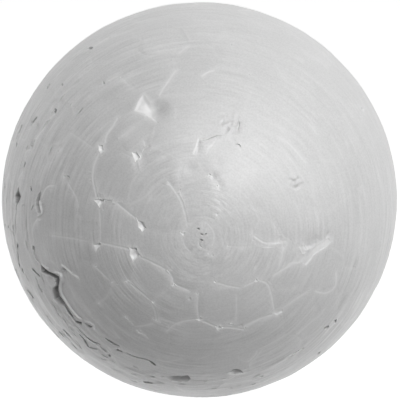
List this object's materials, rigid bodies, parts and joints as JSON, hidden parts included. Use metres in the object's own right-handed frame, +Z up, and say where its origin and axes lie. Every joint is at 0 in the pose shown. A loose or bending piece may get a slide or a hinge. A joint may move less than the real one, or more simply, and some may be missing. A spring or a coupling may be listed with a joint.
{
  "type": "polystyrene ball",
  "caption": "White bead foam ball, turned round on a lathe, with fine tool rings and small open hollows and cracks between its beads, for crafts and decorations.",
  "frame": {"origin": "centre of the ball", "axes": "+Y is the axis that the ball was turned about, with the end that shows the centre mark facing -Y; +Z is up"},
  "size_m": [0.04, 0.04, 0.04],
  "materials": {
    "white_foam": "matte bead foam, soft and slightly translucent"
  },
  "bodies": {
    "root": {"ball": "white_foam"}
  },
  "joints": []
}
